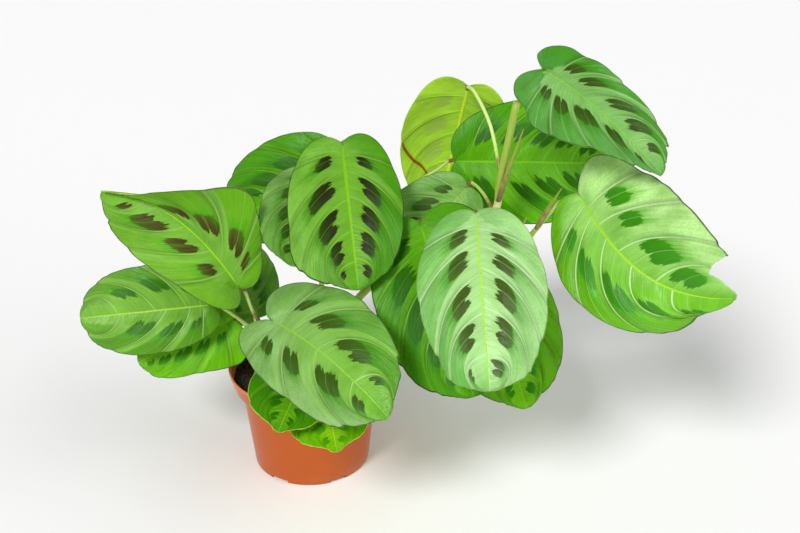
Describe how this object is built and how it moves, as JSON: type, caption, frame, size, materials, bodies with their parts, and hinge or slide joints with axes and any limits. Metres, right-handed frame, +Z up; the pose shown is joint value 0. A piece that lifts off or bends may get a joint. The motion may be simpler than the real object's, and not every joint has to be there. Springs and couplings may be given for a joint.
{
  "type": "potted prayer plant",
  "caption": "Prayer plant with blotched oval leaves on thin leaning stems, growing in soil in a round plastic nursery pot.",
  "frame": {"origin": "centre of the pot's underside, on the surface that it stands on", "axes": "+Z up, -Y towards the front from which the plant is seen, +X to the right, the way the tall stem leans"},
  "size_m": [0.4349, 0.2532, 0.3255],
  "materials": {
    "pot_plastic": "satin terracotta-coloured plastic",
    "potting_soil": "loose moist peat",
    "leaf_blade": "soft satin leaf with dark blotches between the side veins",
    "stem_skin": "smooth juicy green stem"
  },
  "bodies": {
    "root": {"pot": "pot_plastic", "soil": "potting_soil", "leaf_left_high": "leaf_blade", "leaf_left_low": "leaf_blade", "leaf_left_under": "leaf_blade", "leaf_left_inner": "leaf_blade", "leaf_front_large": "leaf_blade", "leaf_front_under": "leaf_blade", "leaf_front_rim": "leaf_blade", "leaf_back_left": "leaf_blade", "leaf_back_middle": "leaf_blade", "leaf_centre": "leaf_blade", "leaf_turned": "leaf_blade", "leaf_back_right": "leaf_blade", "leaf_top_right": "leaf_blade", "leaf_far_right": "leaf_blade", "leaf_right_front": "leaf_blade", "leaf_right_side": "leaf_blade", "leaf_right_under": "leaf_blade", "leaf_between": "leaf_blade", "shoot_left": "stem_skin", "shoot_front": "stem_skin", "shoot_back": "stem_skin", "shoot_right": "stem_skin", "shoot_low_right": "stem_skin"}
  },
  "joints": []
}
